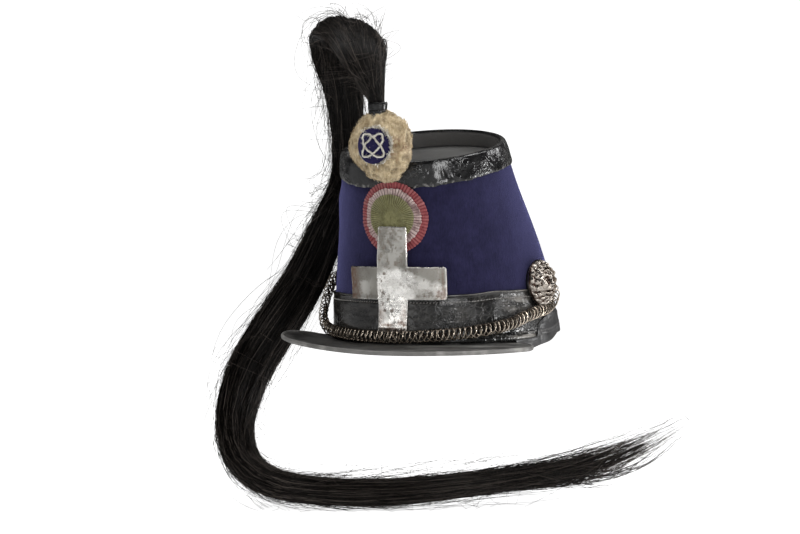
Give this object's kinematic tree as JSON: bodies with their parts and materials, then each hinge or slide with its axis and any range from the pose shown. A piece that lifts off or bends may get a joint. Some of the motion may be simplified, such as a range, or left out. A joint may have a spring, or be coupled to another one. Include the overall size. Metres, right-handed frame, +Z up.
{
  "type": "kepi",
  "caption": "Tapered blue cloth kepi with leather bands and peak, a plain metal cross over a cockade, a pompom, a long falling horsehair plume and a ring chin chain between lion bosses.",
  "frame": {"origin": "middle of the head opening, level with the head band's lower edge, where a head holds the kepi", "axes": "+Z up, the front with the cross faces -Y, the wearer's left is +X"},
  "size_m": [0.3263, 0.2927, 0.3763],
  "materials": {
    "cloth": "matt milled wool cloth",
    "band_leather": "worn black patent",
    "top_leather": "dull black",
    "peak_leather": "worn black patent",
    "white_metal": "tarnished plate",
    "red_ribbon": "pleated",
    "white_ribbon": "pleated",
    "green_ribbon": "pleated",
    "wool": "fluffy wool",
    "patch_cloth": "matt cloth",
    "silver_wire": "silver wire embroidery",
    "steel_pin": "plain",
    "socket_leather": "glossy",
    "horsehair": "long black hair",
    "boss_metal": "silvered, brown in its recesses",
    "chain_metal": "browned, bright where it is worn"
  },
  "bodies": {
    "root": {"crown": "cloth", "crown_foot": "cloth", "top_band": "band_leather", "top_disc": "top_leather", "head_band": "band_leather", "peak": "peak_leather", "peak_binding": "peak_leather", "neck_guard": "band_leather", "cross_plate": "white_metal", "cockade_red": "red_ribbon", "cockade_white": "white_ribbon", "cockade_green": "green_ribbon", "pompom_ball": "wool", "pompom_patch": "patch_cloth", "pompom_braid": "silver_wire", "pompom_knot": "silver_wire", "plume_stem": "steel_pin", "plume_socket": "socket_leather", "plume": "horsehair", "boss_pad_left": "band_leather", "boss_left": "boss_metal", "boss_pad_right": "band_leather", "boss_right": "boss_metal", "chain_1": "chain_metal", "chain_2": "chain_metal", "chain_3": "chain_metal", "chain_4": "chain_metal", "chain_5": "chain_metal"}
  },
  "joints": []
}
